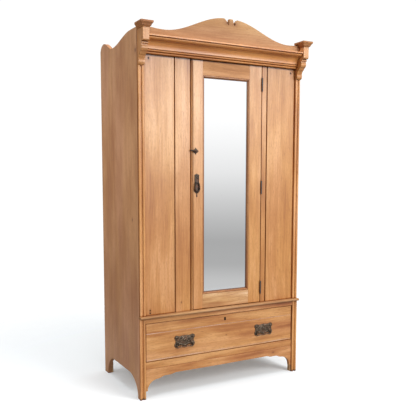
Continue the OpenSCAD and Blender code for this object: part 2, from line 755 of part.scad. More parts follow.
// Lobed plates with two pierced windows, each with a pair of posts for its bail
bail_y = -13;
bail_z = pull_z - 6;
bail_half = 49;
bail_drop = 24;
bail_pin_r = 1.8;
pull_post_x = 40;
pull_y1 = front_y - plate_t;
lobe_r = 14;
module pull_plate(x) difference() {
    union() {
        board(x - 50, x + 50, pull_y1, front_y, pull_z - 32, pull_z + 33);
        for (s = [-1, 1], t = [-1, 1]) bar_y(pull_y1, front_y, x + s * 49, pull_z + t * 22, lobe_r);
        for (s = [-1, 1]) bar_y(bail_y - 6, front_y - 1, x + s * pull_post_x, bail_z, 5.5);
    }
    for (s = [-1, 1]) {
        translate([x, 0, pull_z]) facing(pull_y1 - 1, front_y + 1)
            polygon([[s * 12, -25], [s * 38, -25], [s * 30, -14], [s * 18, -15]]);
        bar_x(x + s * pull_post_x - 10, x + s * pull_post_x + 10, bail_y, bail_z, bail_pin_r + fit);
    }
}
module pull_plates() color(bronze) for (x = [pull_left_x, pull_right_x]) pull_plate(x);
module bail(x) loop_pull(x, bail_y, bail_z, bail_half, bail_drop, 8, 2.6, 11, bail_pin_r);
module bail_left() color(bronze) bail(pull_left_x);
module bail_right() color(bronze) bail(pull_right_x);

side_board_left();
side_board_right();
post_left();
post_right();
leg_left();
leg_right();
back_boards();
back_battens();
top_board();
floor_board();
waist_moulding();
waist_rail();
drawer_rail();
apron();
front_panel_left();
front_stile_left();
front_stile_right();
front_panel_right();
frieze_rail();
cornice();
pediment();
corbel_left();
corbel_right();
cap_left();
cap_right();
glue_blocks();
stop_blocks();
panel_screws();
drawer_runners();
drawer_guides();
hanging_rail();
rail_sockets();
frame_hinge_leaves();
lock_keeper();
door_stile_left();
door_stile_right();
door_rail_top();
door_rail_bottom();
sight_moulding();
mirror_glass();
mirror_backboard();
backboard_beads();
door_hinge_leaves();
hinge_pins();
door_lock_case();
door_pull_plate();
catch_rose();
door_bolt();
drop_pull();
catch_lever();
catch_cam();
drawer_front();
drawer_sides();
drawer_back();
drawer_bottom();
drawer_lock_case();
pull_plates();
drawer_bolt();
bail_left();
bail_right();
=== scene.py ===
import json
import math

import bmesh
import bpy
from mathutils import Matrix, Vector


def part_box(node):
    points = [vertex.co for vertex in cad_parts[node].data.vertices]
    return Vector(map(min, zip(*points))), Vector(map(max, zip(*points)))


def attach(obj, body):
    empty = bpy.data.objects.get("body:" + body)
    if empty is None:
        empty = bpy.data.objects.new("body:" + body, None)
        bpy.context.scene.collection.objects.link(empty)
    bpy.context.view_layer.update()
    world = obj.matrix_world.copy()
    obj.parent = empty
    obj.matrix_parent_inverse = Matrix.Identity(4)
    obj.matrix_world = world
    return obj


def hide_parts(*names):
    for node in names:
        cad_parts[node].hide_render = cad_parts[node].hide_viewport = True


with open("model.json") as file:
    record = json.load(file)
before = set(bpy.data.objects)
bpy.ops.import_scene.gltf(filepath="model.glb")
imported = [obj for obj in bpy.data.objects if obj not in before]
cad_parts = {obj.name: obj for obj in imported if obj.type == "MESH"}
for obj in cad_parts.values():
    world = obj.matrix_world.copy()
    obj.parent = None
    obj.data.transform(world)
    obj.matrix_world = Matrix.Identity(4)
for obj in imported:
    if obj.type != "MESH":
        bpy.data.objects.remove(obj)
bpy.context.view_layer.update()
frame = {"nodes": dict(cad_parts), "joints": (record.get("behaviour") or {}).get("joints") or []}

MM = 0.001
nodes = frame["nodes"]


# ---------------------------------------------------------------- camera and light

CAMERA_PLACE = (-1.679, -3.026, 1.185)
LOOK_DOWN = 5.64        # degrees below the horizon
LOOK_RIGHT = 28.31      # degrees to the right of straight ahead
LENS = 51.17            # millimetres, on a 36 mm sensor
LENS_SHIFT = (0.0271, 0.0607)


def add_camera():
    """The viewpoint in front and to the left of the wardrobe, a little above its middle."""
    data = bpy.data.cameras.new("camera")
    data.lens = LENS
    data.sensor_width = 36
    data.shift_x, data.shift_y = LENS_SHIFT
    camera = bpy.data.objects.new("camera", data)
    camera.location = CAMERA_PLACE
    camera.rotation_euler = (math.radians(90 - LOOK_DOWN), 0, math.radians(-LOOK_RIGHT))
    bpy.context.scene.collection.objects.link(camera)
    bpy.context.scene.camera = camera


def area_light(name, place, target, size, power, color=(1, 1, 1), gloss_only=False):
    """A soft light, for the matt part of each surface or only for its gloss."""
    data = bpy.data.lights.new(name, "AREA")
    data.shape = "RECTANGLE"
    data.size, data.size_y = size
    data.energy = power
    data.color = color
    lamp = bpy.data.objects.new(name, data)
    lamp.location = place
    lamp.rotation_euler = (Vector(target) - Vector(place)).to_track_quat("-Z", "Y").to_euler()
    lamp.visible_camera = False
    lamp.visible_glossy = gloss_only
    lamp.visible_diffuse = not gloss_only
    bpy.context.scene.collection.objects.link(lamp)
    return lamp


# ---------------------------------------------------------------- small node-tree helper

class Tree:
    """Adds shader nodes and returns their output sockets, so a material reads like a formula."""

    def __init__(self, tree):
        self.tree = tree

    def node(self, kind, inputs=(), **settings):
        made = self.tree.nodes.new(kind)
        for key, value in settings.items():
            setattr(made, key, value)
        for key, value in dict(inputs).items():
            self.put(made.inputs[key], value)
        return made

    def put(self, socket, value):
        if isinstance(value, bpy.types.NodeSocket):
            self.tree.links.new(value, socket)
        else:
            socket.default_value = value

    def math(self, operation, a, b=0.0, c=0.0):
        return self.node("ShaderNodeMath", {0: a, 1: b, 2: c}, operation=operation).outputs[0]

    def vector_math(self, operation, a, b=(0, 0, 0)):
        made = self.node("ShaderNodeVectorMath", {0: a, 1: b}, operation=operation)
        return made.outputs["Value" if operation in ("LENGTH", "DOT_PRODUCT") else "Vector"]

    def vector(self, x, y, z):
        return self.node("ShaderNodeCombineXYZ", {0: x, 1: y, 2: z}).outputs[0]

    def noise(self, vector, factors, detail, rough=0.5):
        scaled = self.vector_math("MULTIPLY", vector, factors)
        inputs = {"Vector": scaled, "Scale": 1.0, "Detail": detail, "Roughness": rough}
        return self.node("ShaderNodeTexNoise", inputs).outputs["Fac"]

    def smooth(self, value, low, high, to_low=0.0, to_high=1.0):
        inputs = {0: value, 1: low, 2: high, 3: to_low, 4: to_high}
        made = self.node("ShaderNodeMapRange", inputs, interpolation_type="SMOOTHSTEP")
        return made.outputs[0]

    def ramp(self, value, stops):
        made = self.node("ShaderNodeValToRGB", {0: value})
        points = made.color_ramp.elements
        while len(points) < len(stops):
            points.new(1.0)
        for point, (at, color) in zip(points, stops):
            point.position = at
            point.color = (*color, 1.0)
        return made.outputs[0]

    def mix(self, factor, a, b, blend="MIX"):
        made = self.node("ShaderNodeMix", data_type="RGBA", blend_type=blend)
        self.put(made.inputs[0], factor)
        for socket, value in ((made.inputs[6], a), (made.inputs[7], b)):
            self.put(socket, value if isinstance(value, bpy.types.NodeSocket) else (*value, 1.0))
        return made.outputs[2]

    def choose(self, factor, first, second):
        """The first shader where the factor is 0 and the second where it is 1."""
        return self.shader("MixShader", {0: factor, 1: first, 2: second})

    def shader(self, kind, inputs=()):
        return self.node("ShaderNode" + kind, inputs).outputs[0]

    def object_place(self):
        """Where the surface is in the part's own frame, as a vector and as its three axes."""
        place = self.node("ShaderNodeTexCoord").outputs["Object"]
        return place, self.node("ShaderNodeSeparateXYZ", {0: place}).outputs


def new_material(name):
    material = bpy.data.materials.new(name)
    material.use_nodes = True
    material.node_tree.nodes.clear()
    return material, Tree(material.node_tree)


def rounded_edges(t, radius):
    """A normal that rounds the edges, and how far it still agrees with the true one."""
    normal = t.node("ShaderNodeBevel", {"Radius": radius}, samples=4).outputs[0]
    flat = t.node("ShaderNodeNewGeometry").outputs["Normal"]
    return normal, t.vector_math("DOT_PRODUCT", normal, flat)


def finish_material(tree, color, roughness, height=None, depth=None, normal=None, **settings):
    """A Principled surface, with an optional height that stands for this depth in metres."""
    shader = tree.node("ShaderNodeBsdfPrincipled", {"Base Color": color, "Roughness": roughness})
    for key, value in settings.items():
        tree.put(shader.inputs[key.replace("_", " ")], value)
    if height is not None:
        bump = tree.node("ShaderNodeBump", {"Height": height, "Distance": depth, "Strength": 0.6})
        if normal is not None:
            tree.put(bump.inputs["Normal"], normal)
        tree.put(shader.inputs["Normal"], bump.outputs[0])
    output = tree.node("ShaderNodeOutputMaterial")
    tree.put(output.inputs["Surface"], shader.outputs[0])


# ---------------------------------------------------------------- wood

# Each wood runs from pale sapwood to the reddest streak, in linear colour
FRONT_PINE = ((0.69, 0.368, 0.158), (0.58, 0.280, 0.096), (0.49, 0.214, 0.064), (0.34, 0.126, 0.034))
FLAME_PINE = ((0.68, 0.360, 0.156), (0.57, 0.276, 0.100), (0.47, 0.196, 0.065), (0.30, 0.102, 0.030))
CAP_PINE = ((0.52, 0.255, 0.100), (0.45, 0.202, 0.072), (0.37, 0.154, 0.052), (0.27, 0.098, 0.030))
HEAD_PINE = ((0.76, 0.425, 0.210), (0.64, 0.330, 0.138), (0.53, 0.252, 0.096), (0.34, 0.134, 0.044))
RAIL_PINE = ((0.80, 0.560, 0.340), (0.69, 0.430, 0.225), (0.55, 0.300, 0.130), (0.34, 0.140, 0.048))
POST_PINE = ((0.80, 0.450, 0.205), (0.69, 0.350, 0.130), (0.58, 0.272, 0.092), (0.41, 0.158, 0.050))
TRIM_PINE = ((0.70, 0.325, 0.105), (0.60, 0.250, 0.074), (0.50, 0.190, 0.053), (0.34, 0.112, 0.030))
CREST_PINE = ((0.53, 0.320, 0.165), (0.46, 0.254, 0.115), (0.38, 0.193, 0.080), (0.27, 0.115, 0.045))
SIGHT_PINE = ((0.56, 0.270, 0.110), (0.48, 0.212, 0.078), (0.40, 0.162, 0.055), (0.28, 0.100, 0.032))
SIDE_PINE = ((0.61, 0.324, 0.168), (0.53, 0.268, 0.128), (0.46, 0.214, 0.096), (0.34, 0.138, 0.060))
BARE_DEAL = ((0.68, 0.470, 0.270), (0.61, 0.400, 0.212), (0.53, 0.325, 0.162), (0.41, 0.225, 0.105))
# Dark brown of knots, also the painted shade in the pediment's notches
GNARL_AND_NOTCH_SHADE = (0.13, 0.045, 0.02)
GOLDEN = (1.03, 1.01, 0.90)
ROSY = (1.0, 0.955, 0.965)
# Brown and near black that paint shade, with some dirt, into corners, joints and bands
BROWN_SHADE_AND_SOIL = (0.50, 0.30, 0.18)
BLACK_SHADE_AND_SOIL = (0.26, 0.19, 0.15)
# Pale filler, also a painted highlight on the lips of the drawer's grooves
PALE_FILL_AND_HIGHLIGHT = (0.76, 0.58, 0.50)

# Which object axes are: along the grain, across the face, into the board
UPRIGHT = "ZXY"
LEVEL = "XZY"
SIDE = "ZYX"
FLAT = "XYZ"
DEEP = "YZX"

RINGS_PER_METRE = 70
SHADE_AND_SOIL_REACH = 0.010      # metres from a corner in which painted shade and dirt gather
EDGE_REACH = 0.0016     # radius of an edge paled as wear and as a painted highlight, in metres
TONE_MIDDLE = 0.52      # the tone that stays as it is when the contrast grows
TONE_STEPS = (0.40, 0.49, 0.58, 0.70)
PLAIN_SHINE = 0.5       # the Principled shader's own specular level
FIBRE_DEPTH = 0.0003    # height of the fibres, in metres
DRIFT_ACROSS, WAVER_ACROSS, DRIFT_INTO = 0.075, 0.007, 0.05    # how far the fibres wander, in metres


def board_start(seed):
    """Where in its tree a board starts, in metres along, across and into the grain."""
    return (seed * 0.37) % 3.1, (seed * 0.73) % 2.3, (seed * 0.19) % 1.7


def grain_space(t, axes, grain, seed):
    """Board coordinates in metres, along, across and into the grain, with fibres that drift."""
    raw = [t.math("ADD", axes["XYZ".index(letter)], s) for letter, s in zip(grain, board_start(seed))]
    straight = t.vector(*raw)
    drift = t.math("SUBTRACT", t.noise(straight, (0.9, 2.6, 2.6), 2.0), 0.5)
    waver = t.math("SUBTRACT", t.noise(straight, (5.0, 11.0, 11.0), 1.0), 0.5)
    across = t.math("MULTIPLY_ADD", drift, DRIFT_ACROSS, raw[1])
    across = t.math("MULTIPLY_ADD", waver, WAVER_ACROSS, across)
    into = t.math("MULTIPLY_ADD", drift, DRIFT_INTO, raw[2])
    return t.vector(raw[0], across, into), drift


def growth_rings(t, board, drift, seed, lean, streak):
    """Late wood, 0 to 1: rings round a pith 60 to 110 mm off the board, whose sway makes flames."""
    axes = t.node("ShaderNodeSeparateXYZ", {0: board}).outputs
    _, start_across, start_into = board_start(seed)
    pith_across = start_across + ((seed * 0.61) % 1.0 - 0.5) * 0.10
    pith_into = start_into + 0.06 + ((seed * 0.47) % 1.0) * 0.05
    across = t.math("SUBTRACT", axes[1], pith_across)
    into = t.math("SUBTRACT", axes[2], pith_into)
    into = t.math("MULTIPLY_ADD", t.math("SINE", t.math("MULTIPLY", axes[0], 2.1)), lean, into)
    square = t.math("MULTIPLY_ADD", across, across, t.math("MULTIPLY", into, into))
    radius = t.math("SQRT", square)
    turn = t.math("MULTIPLY", t.math("MULTIPLY_ADD", drift, 0.06, radius), RINGS_PER_METRE)
    ring = t.math("FRACT", t.math("MULTIPLY_ADD", streak, 1.6, turn))
    return t.math("MULTIPLY", t.smooth(ring, 0.25, 0.90), t.smooth(ring, 1.0, 0.92))


def add_gnarls_and_notch_shade(t, color, place, drift, name, grain, gnarls_and_notch_shade, deep):
    """Knots with a reddish halo, drawn out along the grain, on the outer face of the board; the same
    dark spots also paint stains round screw heads and the shade inside notches.
    """
    stretch = [1.0, 1.0, 1.0]
    stretch["XYZ".index(grain[0])] = 0.6
    stretch["XYZ".index(grain[2])] = 0.2
    low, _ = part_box(name)
    for across, up, size in gnarls_and_notch_shade:
        spot = (low.x, across, up) if grain == SIDE else (across, low.y, up)
        offset = t.vector_math("SUBTRACT", place, spot)
        away = t.vector_math("LENGTH", t.vector_math("MULTIPLY", offset, stretch))
        away = t.math("MULTIPLY_ADD", drift, size * 1.5, away)
        color = t.mix(t.smooth(away, size * 3.0, size * 0.8, 0.0, 0.55), color, deep)
        color = t.mix(t.smooth(away, size, size * 0.5, 0.0, 0.85), color, GNARL_AND_NOTCH_SHADE)
    return color


def add_pale_fill_and_highlight(t, color, axes, board, lines):
    """Pale filler in the long level joints, painted pale also as the highlight on their lower lips, at
    these heights in metres.
    """
    broken = t.smooth(t.noise(board, (9.0, 60.0, 60.0), 2.0), 0.30, 0.60, 0.35, 0.90)
    for height in lines:
        away = t.math("ABSOLUTE", t.math("SUBTRACT", axes[2], height))
        color = t.mix(t.math("MULTIPLY", t.smooth(away, 0.0025, 0.0009), broken), color, PALE_FILL_AND_HIGHLIGHT)
    return color


def add_rim(t, color, axes, name, grain, reach):
    """Dirt and painted shade along the four edges of a board's face, where it meets its neighbours."""
    low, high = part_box(name)
    for letter in grain[:2]:
        i = "XYZ".index(letter)
        middle, half = (low[i] + high[i]) / 2, (high[i] - low[i]) / 2
        away = t.math("SUBTRACT", half, t.math("ABSOLUTE", t.math("SUBTRACT", axes[i], middle)))
        color = t.mix(t.smooth(away, reach, reach * 0.25, 0.0, 0.75), color, BROWN_SHADE_AND_SOIL, "MULTIPLY")
    return color


def add_shade_and_soil_bands(t, color, axes, bands):
    """Painted shade that thickens from each band's first height to its second, up to a strength; near
    the floor it also stands for dirt.
    """
    for faint_height, full_height, strength in bands:
        color = t.mix(t.smooth(axes[2], faint_height, full_height, 0.0, strength), color, BLACK_SHADE_AND_SOIL, "MULTIPLY")
    return color


def add_seat(t, color, axes, depth):
    """Painted shade on the edge of a moulding where it meets the glass, at this depth in metres."""
    near = t.smooth(axes[1], depth - 0.007, depth - 0.001, 0.0, 0.95)
    return t.mix(near, color, BLACK_SHADE_AND_SOIL, "MULTIPLY")


def pine_color(t, board, drift, seed, colors, bands, contrast, figure, lean):
    """Streaks, flames, golden and rosy patches and dark flecks, with the fields they come from.

    Each noise repeats so many times per metre along, across and into the grain."""
    wide = t.noise(board, (1.9, 26.0, 26.0), 4.0, 0.6)
    thin = t.noise(board, (4.2, 165.0, 165.0), 4.0, 0.65)
    fibre = t.noise(board, (11.0, 700.0, 700.0), 2.0)
    fleck = t.noise(board, (25.0, 190.0, 190.0), 1.0)
    speck = t.noise(board, (70.0, 210.0, 210.0), 2.0)
    patch = t.noise(board, (2.4, 6.0, 6.0), 3.0)
    late = growth_rings(t, board, drift, seed, lean, thin)
    flame = t.math("MULTIPLY", late, t.smooth(patch, 0.38, 0.62, 0.25, 1.0))

    tone = t.math("MULTIPLY_ADD", thin, 0.55 - bands, t.math("MULTIPLY", wide, bands))
    tone = t.math("MULTIPLY_ADD", patch, 0.45, tone)
    tone = t.math("MULTIPLY_ADD", t.math("SUBTRACT", tone, TONE_MIDDLE), contrast, TONE_MIDDLE)
    color = t.ramp(tone, list(zip(TONE_STEPS, colors)))
    color = t.mix(t.math("MULTIPLY", flame, 0.30 * figure), color, colors[3])
    rosy = t.noise(board, (1.1, 9.0, 9.0), 1.0)
    color = t.mix(1.0, color, t.mix(t.smooth(rosy, 0.38, 0.64), GOLDEN, ROSY), "MULTIPLY")
    dark_fibre = t.math("MULTIPLY", t.smooth(fibre, 0.45, 0.75), 0.20)
    dark_fleck = t.math("MULTIPLY", t.smooth(fleck, 0.62, 0.72), 0.34)
    dark_speck = t.math("MULTIPLY", t.smooth(speck, 0.45, 0.70), 0.20)
    dark = t.math("ADD", t.math("ADD", dark_fibre, dark_fleck), dark_speck)
    return t.mix(dark, color, colors[3]), wide, late, fibre


def add_corner_shade_and_edge_wear(t, color, gloss, pale, corner_shade_and_soil):
    """Painted shade with dull dirt in the corners, and edges paled to the palest wood, as wear and as a
    painted highlight.
    """
    corner = t.node("ShaderNodeAmbientOcclusion", {"Distance": SHADE_AND_SOIL_REACH}, samples=6).outputs["AO"]
    # Painted shade with dirt where the corner hides the surface, near black where it hides it most
    shade_and_soil = t.smooth(corner, 0.90, 0.52, 0.0, 0.97 * corner_shade_and_soil)
    color = t.mix(shade_and_soil, color, BROWN_SHADE_AND_SOIL, "MULTIPLY")
    color = t.mix(t.smooth(corner, 0.40, 0.15, 0.0, 0.8 * corner_shade_and_soil), color, BLACK_SHADE_AND_SOIL, "MULTIPLY")
    gloss = t.math("MULTIPLY_ADD", shade_and_soil, 0.42, gloss)
    shine = t.math("MULTIPLY_ADD", shade_and_soil, -0.48, PLAIN_SHINE)
    normal, turned = rounded_edges(t, EDGE_REACH)
    # Convex edges paled to the palest wood, as wear and as a painted highlight
    edge_wear_and_highlight = t.math("MULTIPLY", t.smooth(turned, 0.985, 0.85), t.smooth(corner, 0.75, 0.95, 0.0, 0.35))
    return t.mix(edge_wear_and_highlight, color, pale), gloss, shine, normal


def wood(name, colors, grain, seed, bands=0.30, contrast=1.2, figure=0.2, rough=0.40, lean=0.05,
         gnarls_and_notch_shade=(), pale_fill_and_highlight=(), rim=0.0, shade_and_soil_bands=(), seat=None, corner_shade_and_soil=1.0, outside=True):
    """Stripped and waxed pine: streaks, flames of late wood, fibres, painted shade with dirt in the
    corners, and edges paled as wear and as a painted highlight.
    """
    material, t = new_material(name)
    place, axes = t.object_place()
    board, drift = grain_space(t, axes, grain, seed)
    color, wide, late, fibre = pine_color(t, board, drift, seed, colors, bands, contrast, figure, lean)
    color = add_gnarls_and_notch_shade(t, color, place, drift, name, grain, gnarls_and_notch_shade, colors[3])
    color = add_pale_fill_and_highlight(t, color, axes, board, pale_fill_and_highlight) if pale_fill_and_highlight else color
    color = add_rim(t, color, axes, name, grain, rim) if rim else color
    color = add_shade_and_soil_bands(t, color, axes, shade_and_soil_bands)
    color = add_seat(t, color, axes, seat) if seat is not None else color
    gloss = t.math("MULTIPLY_ADD", wide, 0.14, rough - 0.07)
    shine, normal = PLAIN_SHINE, None
    if outside:
        color, gloss, shine, normal = add_corner_shade_and_edge_wear(t, color, gloss, colors[0], corner_shade_and_soil)
    height = t.math("MULTIPLY_ADD", late, -0.5, t.math("MULTIPLY", fibre, 0.9))
    finish_material(t, color, gloss, height, FIBRE_DEPTH, normal, Specular_IOR_Level=shine)
    return material


# ---------------------------------------------------------------- metal and glass

HOLLOW_REACH = 0.007    # metres from a hollow in which metal darkens
WEAR_AND_GLINT_REACH = 0.0009      # radius of an edge paled as rubbed metal and as a painted highlight, in metres
HOLLOW_DIRT = (0.14, 0.11, 0.09)
BEVEL_WIDTH = 0.0245    # of the mirror's ground border, in metres
BEVEL_DEPTH = 0.0011
BEVEL_BLUR = 0.0004
CLEAR_SILVER = (0.93, 0.935, 0.94)
BEVEL_SILVER = (0.91, 0.935, 0.955)
FOXED_SILVER = (0.70, 0.69, 0.66)


def old_metal(name, dark, light, patina, wear_and_glint_color, rough, seed):
    """Dull cast metal: dark in its hollows, paler on its edges as rubbed metal and as a painted
    highlight, with a reddish bloom.
    """
    material, t = new_material(name)
    place, _ = t.object_place()
    place = t.vector_math("ADD", place, (seed, seed * 0.3, 0.0))
    mottle = t.noise(place, (220.0, 220.0, 220.0), 4.0, 0.6)
    bloom = t.noise(place, (60.0, 60.0, 60.0), 3.0, 0.55)
    grit = t.noise(place, (1400.0, 1400.0, 1400.0), 2.0, 0.6)
    color = t.mix(t.smooth(mottle, 0.35, 0.7), dark, light)
    color = t.mix(t.smooth(bloom, 0.48, 0.68, 0.0, 0.75), color, patina)
    corner = t.node("ShaderNodeAmbientOcclusion", {"Distance": HOLLOW_REACH}, samples=8).outputs["AO"]
    _, turned = rounded_edges(t, WEAR_AND_GLINT_REACH)
    # Edges paled as rubbed metal and as a painted highlight
    edge_wear_and_glint = t.math("MULTIPLY", t.smooth(turned, 0.98, 0.80), t.smooth(corner, 0.6, 0.9, 0.0, 0.6))
    color = t.mix(edge_wear_and_glint, color, wear_and_glint_color)
    color = t.mix(t.smooth(corner, 0.90, 0.35, 0.0, 0.92), color, HOLLOW_DIRT, "MULTIPLY")
    gloss = t.math("MULTIPLY_ADD", mottle, 0.3, rough - 0.12)
    height = t.math("MULTIPLY_ADD", mottle, 0.7, t.math("MULTIPLY", grit, 0.3))
    finish_material(t, color, gloss, height, 0.0005, Metallic=0.8)
    return material


def silvered_glass():
    """Old silvered plate glass, faintly hazy, and cooler where its border is ground to a bevel."""
    material, t = new_material("silvered_plate")
    place, axes = t.object_place()
    haze = t.noise(place, (6.0, 6.0, 3.0), 3.0)
    spots = t.smooth(t.noise(place, (45.0, 45.0, 30.0), 3.0, 0.6), 0.74, 0.80)
    color = t.mix(spots, CLEAR_SILVER, FOXED_SILVER)
    low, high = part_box("mirror_glass")
    middle, half = (low + high) / 2, (high - low) / 2
    side = t.math("SUBTRACT", half.x, t.math("ABSOLUTE", t.math("SUBTRACT", axes[0], middle.x)))
    rise = t.math("SUBTRACT", half.z, t.math("ABSOLUTE", t.math("SUBTRACT", axes[2], middle.z)))
    inside, border = BEVEL_WIDTH + BEVEL_BLUR, BEVEL_WIDTH - BEVEL_BLUR
    ground = t.smooth(t.math("MINIMUM", side, rise), inside, border)
    color = t.mix(ground, color, BEVEL_SILVER)
    finish_material(t, color, t.math("MULTIPLY_ADD", haze, 0.02, 0.004), Metallic=1.0)
    return material


def paint(names, make):
    """Gives each CAD node the material that make returns for its name and its place in the list."""
    for index, name in enumerate(names):
        slots = nodes[name].data.materials
        material = make(name, index)
        for i in range(len(slots)):
            slots[i] = material


# ---------------------------------------------------------------- mesh code for the fittings

SMOOTH_ANGLE = math.radians(38)    # edges sharper than this stay sharp


def joint_place(name):
    """Where a joint's axis passes, in metres."""
    return Vector(next(j for j in frame["joints"] if j["name"] == name)["pos_m"])


def smooth_line(points, steps, closed=False):
    """A Catmull-Rom line through the points, in any number of dimensions."""
    count = len(points)
    line = []
    for i in range(count if closed else count - 1):
        ends = [points[(i + k) % count] if closed else points[min(max(i + k, 0), count - 1)]
                for k in (-1, 0, 1, 2)]
        for step in range(steps):
            u = step / steps
            weights = (-u + 2 * u * u - u ** 3, 2 - 5 * u * u + 3 * u ** 3,
                       u + 4 * u * u - 3 * u ** 3, -u * u + u ** 3)
            line.append(tuple(sum(w * p[k] for w, p in zip(weights, ends)) / 2
                              for k in range(len(points[0]))))
    if not closed:
        line.append(tuple(points[-1]))
    return line


def circle(x, z, radius, count=16):
    """Points of a circle in the plane of a plate."""
    angles = [2 * math.pi * i / count for i in range(count)]
    return [(x + radius * math.cos(a), z + radius * math.sin(a)) for a in angles]


def mirrored(half):
    """Both halves of an outline whose first and last points lie on its middle line."""
    return list(half) + [(-x, z) for x, z in reversed(half[1:-1])]


class Casting:
    """One cast or wrought piece, made of plates, bars and turned bosses.

    Lengths are in millimetres from the origin of the casting: x across, y depth, z up."""

    def __init__(self, origin):
        self.origin = Vector(origin)
        self.mesh = bmesh.new()

    def take(self, part):
        """Adds a finished closed part to the casting."""
        bmesh.ops.recalc_face_normals(part, faces=part.faces[:])
        held = bpy.data.meshes.new("part")
        part.to_mesh(held)
        part.free()
        self.mesh.from_mesh(held)
        bpy.data.meshes.remove(held)

    def at(self, x, y, z):
        return self.origin + Vector((x, y, z)) * MM

    def plate(self, outline, back, front, ease):
        """A flat plate between two depths, its front edges eased by that many millimetres."""
        part = bmesh.new()
        part.faces.new([part.verts.new(self.at(x, back, z)) for x, z in outline])
        bmesh.ops.remove_doubles(part, verts=part.verts[:], dist=0.02 * MM)
        rise = bmesh.ops.extrude_face_region(part, geom=part.faces[:], use_keep_orig=True)
        top = [v for v in rise["geom"] if isinstance(v, bmesh.types.BMVert)]
        bmesh.ops.translate(part, verts=top, vec=(0, (front - back) * MM, 0))
        bmesh.ops.recalc_face_normals(part, faces=part.faces[:])
        rim = [e for e in part.edges if set(e.verts) <= set(top) and e.calc_face_angle(0) > 1.0]
        bmesh.ops.bevel(part, geom=rim, offset=ease * MM, segments=3, profile=0.5,
                        affect="EDGES", clamp_overlap=True)
        self.take(part)

    def bar(self, path, radii, sides, closed=False):
        """A round bar along a path, with one radius or a radius for each point."""
        points = [self.at(*p) for p in path]
        count = len(points)
        sizes = radii if isinstance(radii, (list, tuple)) else [radii] * count
        part = bmesh.new()
        rings = []
        across = None
        for i, point in enumerate(points):
            after = points[(i + 1) % count] if closed else points[min(i + 1, count - 1)]
            before = points[(i - 1) % count] if closed else points[max(i - 1, 0)]
            ahead = (after - before).normalized()
            if across is None:
                across = ahead.orthogonal()
            across = (across - ahead * across.dot(ahead)).normalized()
            up = ahead.cross(across)
            reach = sizes[i] * MM
            rings.append([part.verts.new(point + (across * x + up * y) * reach)
                          for x, y in circle(0, 0, 1, sides)])
        self.skin(part, rings, closed)
        self.take(part)

    def boss(self, profile, x=0, z=0, sides=20):
        """A boss turned round the depth axis; the profile is (radius, depth) from back to front."""
        part = bmesh.new()
        rings = []
        for radius, depth in profile:
            rings.append([part.verts.new(self.at(across, depth, up))
                          for across, up in circle(x, z, radius, sides)])
        self.skin(part, rings, False)
        self.take(part)

    @staticmethod
    def skin(part, rings, closed):
        """Walls between the rings, and end faces unless the rings close on themselves."""
        pairs = list(zip(rings, rings[1:] + rings[:1] if closed else rings[1:]))
        for one, two in pairs:
            for k in range(len(one)):
                n = (k + 1) % len(one)
                part.faces.new((one[k], one[n], two[n], two[k]))
        if not closed:
            part.faces.new(list(reversed(rings[0])))
            part.faces.new(rings[-1])

    def piece(self, name, body, slot, material, *stands_for):
        """Turns the casting into a piece that rides on a CAD body and stands for CAD nodes."""
        for face in self.mesh.faces:
            face.smooth = True
        for edge in self.mesh.edges:
            edge.smooth = edge.calc_face_angle(0) < SMOOTH_ANGLE
        mesh = bpy.data.meshes.new(name)
        self.mesh.to_mesh(mesh)
        self.mesh.free()
        mesh.materials.append(material)
        made = bpy.data.objects.new(name, mesh)
        bpy.context.scene.collection.objects.link(made)
        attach(made, body)
        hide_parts(*stands_for)


def dome(radius, back, height, steps=5):
    """The profile of a rounded boss that stands this far proud of its back."""
    angles = [math.pi / 2 * i / steps for i in range(steps)]
    rise = [(radius * math.cos(a), back - height * math.sin(a)) for a in angles]
    return [(radius, back)] + rise + [(radius * 0.06, back - height)]


# ---------------------------------------------------------------- drawer pulls

# All in millimetres, from the middle of a plate
PLATE_T = 2.2
LET_IN = 0.3            # how far the back of a boss is let into its plate
PROUD = 0.3             # how far in front of the plate's face the middle of a raised line runs
RELIEF_SIDES = 8
PULL_OUTLINE = mirrored(
    smooth_line([(0, 36), (6, 33.5), (12, 34.5), (20, 33), (28, 32), (36, 33), (43, 35.5), (50, 36),
                 (57, 33.5), (61.5, 28), (62, 21), (58.5, 15), (55.5, 10), (55.5, 4), (56.5, -2),
                 (60, -8), (62, -15), (61, -22), (56, -27.5), (49, -29), (43, -26)], 4)
    + smooth_line([(38, -23), (32, -20.5), (25, -20), (17, -21.5)], 4)
    + smooth_line([(12, -24), (6, -26.5), (0, -26)], 4))
PULL_ARCH = smooth_line([(-37, -8), (-33, 5), (-24, 15), (-12, 21.5), (0, 23.5), (12, 21.5), (24, 15),
                         (33, 5), (37, -8)], 4)
PULL_SILL = smooth_line([(-40, -22), (-34, -11.5), (-24, -9.5), (-13, -14), (0, -19), (13, -14),
                         (24, -9.5), (34, -11.5), (40, -22)], 4)
PULL_LEAF = smooth_line([(4, 29), (11, 29.5), (18, 26), (27, 22.5), (36, 24)], 3)
PULL_POST = [(6.6, LET_IN - PLATE_T), (6.6, -3.2), (4.4, -4.0), (3.4, -5.5), (3.6, -6.8), (5.2, -8.2),
             (5.4, -10), (4.8, -12.4), (2.8, -14.3), (0.4, -14.9)]    # radius and depth
POST_X, POST_Z = 40, -6
LOBE_X, LOBE_Z = 49.5, 23.5
MEDALLION_Z = 5.5
SCROLL_STEPS = 22


def scroll(x, z, side, reach, turns, start):
    """A line that winds in from its outer end, to the left (-1) or to the right (1)."""
    points = []
    for i in range(SCROLL_STEPS + 1):
        u = i / SCROLL_STEPS
        angle = math.radians(start) + turns * 2 * math.pi * u
        radius = reach * (1 - 0.85 * u)
        points.append((x + side * radius * math.cos(angle), z + radius * math.sin(angle)))
    return points


def raised(line, depth):
    return [(x, depth, z) for x, z in line]


def thinning(first, step):
    """The radii of a scroll, from its outer end."""
    return [first - step * i for i in range(SCROLL_STEPS + 1)]


